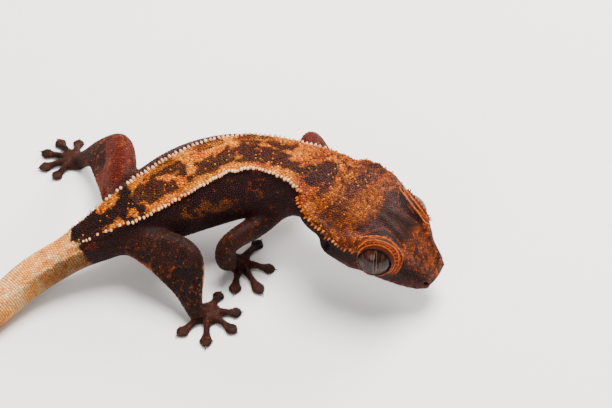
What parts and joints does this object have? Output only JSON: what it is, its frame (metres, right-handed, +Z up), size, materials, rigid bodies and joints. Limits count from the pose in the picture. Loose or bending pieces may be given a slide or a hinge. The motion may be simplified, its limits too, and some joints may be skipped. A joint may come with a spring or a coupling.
{
  "type": "crested gecko figure",
  "caption": "Still, life-size young crested gecko on a flat floor: trunk arched to one side, head down, toes spread, tail curled round.",
  "frame": {"origin": "middle of the bounding box on the floor the animal stands on", "axes": "+X the way the head points across the picture, +Y away from the viewer, +Z up"},
  "size_m": [0.0424, 0.0364, 0.0097],
  "materials": {
    "skin": "matte granular scales, golden-orange back over dark brown flanks",
    "tail_skin": "matte, cream-peach fine rings over a dark underside",
    "eye": "wet gloss, grey-brown iris with an upright slit pupil"
  },
  "bodies": {
    "root": {"eye_left": "eye", "eye_right": "eye", "foot_fore_left": "skin", "foot_fore_right": "skin", "foot_hind_left": "skin", "foot_hind_right": "skin", "forearm_left": "skin", "forearm_right": "skin", "head": "skin", "neck": "skin", "shank_left": "skin", "shank_right": "skin", "tail_base": "tail_skin", "tail_end": "tail_skin", "tail_middle": "tail_skin", "tail_tip": "tail_skin", "thigh_left": "skin", "thigh_right": "skin", "torso_front": "skin", "torso_middle": "skin", "torso_rear": "skin", "upper_arm_left": "skin", "upper_arm_right": "skin"}
  },
  "joints": []
}
